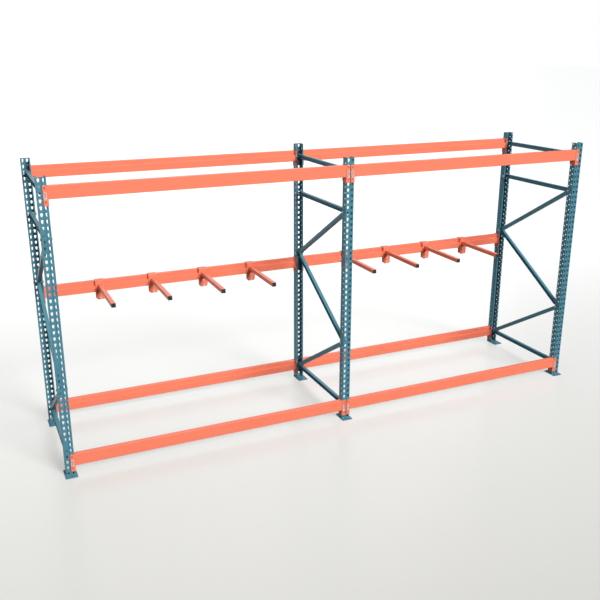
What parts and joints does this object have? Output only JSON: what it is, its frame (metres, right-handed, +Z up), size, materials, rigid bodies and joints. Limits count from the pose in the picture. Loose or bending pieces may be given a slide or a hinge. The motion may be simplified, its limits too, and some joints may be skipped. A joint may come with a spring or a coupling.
{
  "type": "cantilever rack",
  "caption": "Free-standing steel storage rack for long stock stood on end, with punched upright frames, hook-on step beams and sliding divider arms.",
  "frame": {"origin": "floor level, in the middle of the rack's plan", "axes": "+X along the rack to its right seen from the front, +Y towards the rear, +Z up; the front, where the divider arms point, faces -Y"},
  "size_m": [5.1292, 1.1804, 2.4352],
  "materials": {
    "blue_paint": "steel-blue powder coat, semi-gloss",
    "orange_paint": "salmon-orange powder coat, semi-gloss",
    "zinc": "zinc-plated steel, satin",
    "black_plastic": "moulded black plastic, matte"
  },
  "bodies": {
    "rack": {"base_plates_centre": "blue_paint", "base_plates_left": "blue_paint", "base_plates_right": "blue_paint", "beam_front_bottom_left": "orange_paint", "beam_front_bottom_right": "orange_paint", "beam_front_top_left": "orange_paint", "beam_front_top_right": "orange_paint", "beam_rear_bottom_left": "orange_paint", "beam_rear_bottom_right": "orange_paint", "beam_rear_middle_left": "orange_paint", "beam_rear_middle_right": "orange_paint", "beam_rear_top_left": "orange_paint", "beam_rear_top_right": "orange_paint", "brace_bolts_centre": "zinc", "brace_bolts_left": "zinc", "brace_bolts_right": "zinc", "braces_centre": "blue_paint", "braces_left": "blue_paint", "braces_right": "blue_paint", "connector_rivets": "orange_paint", "post_centre_front": "blue_paint", "post_centre_rear": "blue_paint", "post_left_front": "blue_paint", "post_left_rear": "blue_paint", "post_right_front": "blue_paint", "post_right_rear": "blue_paint"},
    "arm_left_1": {"arm_left_1": "orange_paint", "arm_cap_left_1": "black_plastic", "arm_bolt_left_1": "zinc"},
    "arm_left_2": {"arm_left_2": "orange_paint", "arm_cap_left_2": "black_plastic", "arm_bolt_left_2": "zinc"},
    "arm_left_3": {"arm_left_3": "orange_paint", "arm_cap_left_3": "black_plastic", "arm_bolt_left_3": "zinc"},
    "arm_left_4": {"arm_left_4": "orange_paint", "arm_cap_left_4": "black_plastic", "arm_bolt_left_4": "zinc"},
    "arm_right_1": {"arm_right_1": "orange_paint", "arm_cap_right_1": "black_plastic", "arm_bolt_right_1": "zinc"},
    "arm_right_2": {"arm_right_2": "orange_paint", "arm_cap_right_2": "black_plastic", "arm_bolt_right_2": "zinc"},
    "arm_right_3": {"arm_right_3": "orange_paint", "arm_cap_right_3": "black_plastic", "arm_bolt_right_3": "zinc"},
    "arm_right_4": {"arm_right_4": "orange_paint", "arm_cap_right_4": "black_plastic", "arm_bolt_right_4": "zinc"},
    "locks_front_top_left": {"locks_front_top_left": "zinc"},
    "locks_front_top_right": {"locks_front_top_right": "zinc"},
    "locks_rear_top_left": {"locks_rear_top_left": "zinc"},
    "locks_rear_top_right": {"locks_rear_top_right": "zinc"},
    "locks_rear_middle_left": {"locks_rear_middle_left": "zinc"},
    "locks_rear_middle_right": {"locks_rear_middle_right": "zinc"},
    "locks_front_bottom_left": {"locks_front_bottom_left": "zinc"},
    "locks_front_bottom_right": {"locks_front_bottom_right": "zinc"},
    "locks_rear_bottom_left": {"locks_rear_bottom_left": "zinc"},
    "locks_rear_bottom_right": {"locks_rear_bottom_right": "zinc"}
  },
  "joints": [
    {"name": "slide_arm_left_1", "type": "slide", "parent": "rack", "child": "arm_left_1", "axis": [1, 0, 0], "range_m": [-0.44, 0.2]},
    {"name": "slide_arm_left_2", "type": "slide", "parent": "rack", "child": "arm_left_2", "axis": [1, 0, 0], "range_m": [-0.2, 0.2]},
    {"name": "slide_arm_left_3", "type": "slide", "parent": "rack", "child": "arm_left_3", "axis": [1, 0, 0], "range_m": [-0.2, 0.2]},
    {"name": "slide_arm_left_4", "type": "slide", "parent": "rack", "child": "arm_left_4", "axis": [1, 0, 0], "range_m": [-0.2, 0.44]},
    {"name": "slide_arm_right_1", "type": "slide", "parent": "rack", "child": "arm_right_1", "axis": [1, 0, 0], "range_m": [-0.44, 0.2]},
    {"name": "slide_arm_right_2", "type": "slide", "parent": "rack", "child": "arm_right_2", "axis": [1, 0, 0], "range_m": [-0.2, 0.2]},
    {"name": "slide_arm_right_3", "type": "slide", "parent": "rack", "child": "arm_right_3", "axis": [1, 0, 0], "range_m": [-0.2, 0.2]},
    {"name": "slide_arm_right_4", "type": "slide", "parent": "rack", "child": "arm_right_4", "axis": [1, 0, 0], "range_m": [-0.2, 0.44]},
    {"name": "pull_locks_front_top_left", "type": "slide", "parent": "rack", "child": "locks_front_top_left", "axis": [0, -1, 0], "range_m": [0, 0.012], "stiffness_N_per_m": 800, "springref_m": -0.004},
    {"name": "pull_locks_front_top_right", "type": "slide", "parent": "rack", "child": "locks_front_top_right", "axis": [0, -1, 0], "range_m": [0, 0.012], "stiffness_N_per_m": 800, "springref_m": -0.004},
    {"name": "pull_locks_rear_top_left", "type": "slide", "parent": "rack", "child": "locks_rear_top_left", "axis": [0, 1, 0], "range_m": [0, 0.012], "stiffness_N_per_m": 800, "springref_m": -0.004},
    {"name": "pull_locks_rear_top_right", "type": "slide", "parent": "rack", "child": "locks_rear_top_right", "axis": [0, 1, 0], "range_m": [0, 0.012], "stiffness_N_per_m": 800, "springref_m": -0.004},
    {"name": "pull_locks_rear_middle_left", "type": "slide", "parent": "rack", "child": "locks_rear_middle_left", "axis": [0, 1, 0], "range_m": [0, 0.012], "stiffness_N_per_m": 800, "springref_m": -0.004},
    {"name": "pull_locks_rear_middle_right", "type": "slide", "parent": "rack", "child": "locks_rear_middle_right", "axis": [0, 1, 0], "range_m": [0, 0.012], "stiffness_N_per_m": 800, "springref_m": -0.004},
    {"name": "pull_locks_front_bottom_left", "type": "slide", "parent": "rack", "child": "locks_front_bottom_left", "axis": [0, -1, 0], "range_m": [0, 0.012], "stiffness_N_per_m": 800, "springref_m": -0.004},
    {"name": "pull_locks_front_bottom_right", "type": "slide", "parent": "rack", "child": "locks_front_bottom_right", "axis": [0, -1, 0], "range_m": [0, 0.012], "stiffness_N_per_m": 800, "springref_m": -0.004},
    {"name": "pull_locks_rear_bottom_left", "type": "slide", "parent": "rack", "child": "locks_rear_bottom_left", "axis": [0, 1, 0], "range_m": [0, 0.012], "stiffness_N_per_m": 800, "springref_m": -0.004},
    {"name": "pull_locks_rear_bottom_right", "type": "slide", "parent": "rack", "child": "locks_rear_bottom_right", "axis": [0, 1, 0], "range_m": [0, 0.012], "stiffness_N_per_m": 800, "springref_m": -0.004}
  ]
}
